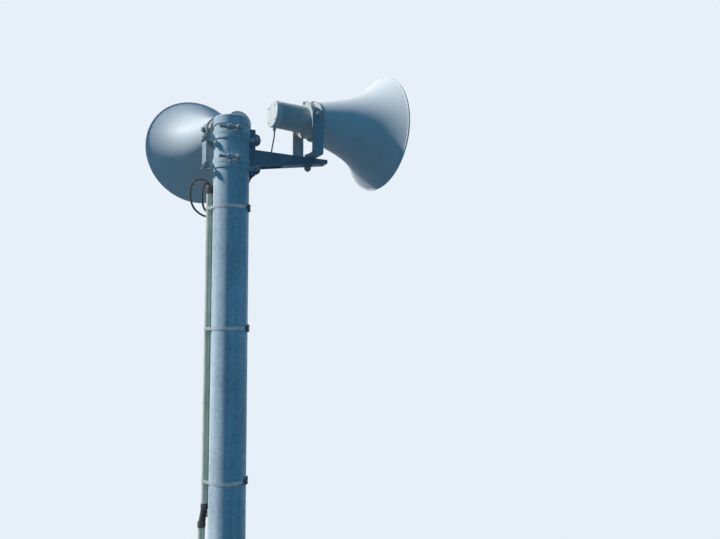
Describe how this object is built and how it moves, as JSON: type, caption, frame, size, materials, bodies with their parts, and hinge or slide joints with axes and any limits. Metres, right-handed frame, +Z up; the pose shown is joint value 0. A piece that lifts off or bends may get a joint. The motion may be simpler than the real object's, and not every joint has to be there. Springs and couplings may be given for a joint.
{
  "type": "civil defence siren tower",
  "caption": "Tall stepped steel pole with horn loudspeakers on banded bracket arms, each turning in a U yoke; conduit, cables and step bolts up the side.",
  "frame": {"origin": "centre of the base plate's underside, on the pole's axis", "axes": "+Z up along the pole, +X along the right horn's bracket arm"},
  "size_m": [1.1211, 1.2018, 12.964],
  "materials": {
    "galvanised_pole": "hot-dip galvanised, weathered to a mottled light grey",
    "galvanised_bracket": "hot-dip galvanised, a little darker than the pole",
    "bracket_bolt": "galvanised bolts",
    "stainless_band": "stainless strap with its buckle",
    "conduit": "weathered grey-cream coated steel conduit",
    "black_fitting": "black moulded fittings, glands and hose",
    "cable_sheath": "black rubber sheath",
    "horn_paint": "off-white baked paint on spun and cast aluminium",
    "rear_cap_paint": "white paint on a cast aluminium cover"
  },
  "bodies": {
    "root": {"base_plate": "galvanised_pole", "base_ribs": "galvanised_pole", "pole_lower": "galvanised_pole", "pole_middle": "galvanised_pole", "pole_upper": "galvanised_pole", "pole_cap": "galvanised_pole", "conduit_upper": "conduit", "conduit_middle": "conduit", "conduit_lower": "conduit", "conduit_couplings": "black_fitting", "conduit_entry_cap": "black_fitting", "conduit_end_bushing": "black_fitting", "conduit_bands": "stainless_band", "step_bolts": "galvanised_pole", "right_arm_foot": "galvanised_bracket", "right_arm": "galvanised_bracket", "right_band_upper": "galvanised_bracket", "right_band_lower": "galvanised_bracket", "left_arm_foot": "galvanised_bracket", "left_arm": "galvanised_bracket", "left_band_upper": "galvanised_bracket", "left_band_lower": "galvanised_bracket", "pan_bolts": "bracket_bolt", "right_cable": "cable_sheath", "left_cable": "cable_sheath", "right_lead_lower": "cable_sheath", "left_lead_lower": "cable_sheath"},
    "right_yoke": {"right_yoke": "galvanised_bracket", "right_lead_upper": "cable_sheath"},
    "right_horn": {"right_bell": "horn_paint", "right_reflector": "horn_paint", "right_throat": "horn_paint", "right_driver": "horn_paint", "right_rear_cap": "rear_cap_paint", "right_gland": "black_fitting", "right_tilt_bolts": "bracket_bolt"},
    "left_yoke": {"left_yoke": "galvanised_bracket", "left_lead_upper": "cable_sheath"},
    "left_horn": {"left_bell": "horn_paint", "left_reflector": "horn_paint", "left_throat": "horn_paint", "left_driver": "horn_paint", "left_rear_cap": "rear_cap_paint", "left_gland": "black_fitting", "left_tilt_bolts": "bracket_bolt"}
  },
  "joints": [
    {"name": "right_yoke_pan", "type": "hinge", "parent": "root", "child": "right_yoke", "pos_m": [0.39, 0, 12.459], "axis": [0, 0, 1], "range_deg": [-30, 30], "deforming": ["right_lead_lower"]},
    {"name": "right_horn_tilt", "type": "hinge", "parent": "right_yoke", "child": "right_horn", "pos_m": [0.39, 0, 12.658], "axis": [0.0698, -0.9976, 0], "range_deg": [-22, 20], "deforming": ["right_lead_upper"]},
    {"name": "left_yoke_pan", "type": "hinge", "parent": "root", "child": "left_yoke", "pos_m": [0.06772, 0.38407, 12.459], "axis": [0, 0, 1], "range_deg": [-30, 30], "deforming": ["left_lead_lower"]},
    {"name": "left_horn_tilt", "type": "hinge", "parent": "left_yoke", "child": "left_horn", "pos_m": [0.06772, 0.38407, 12.658], "axis": [0.9925, 0.1219, 0], "range_deg": [-22, 20], "deforming": ["left_lead_upper"]}
  ]
}
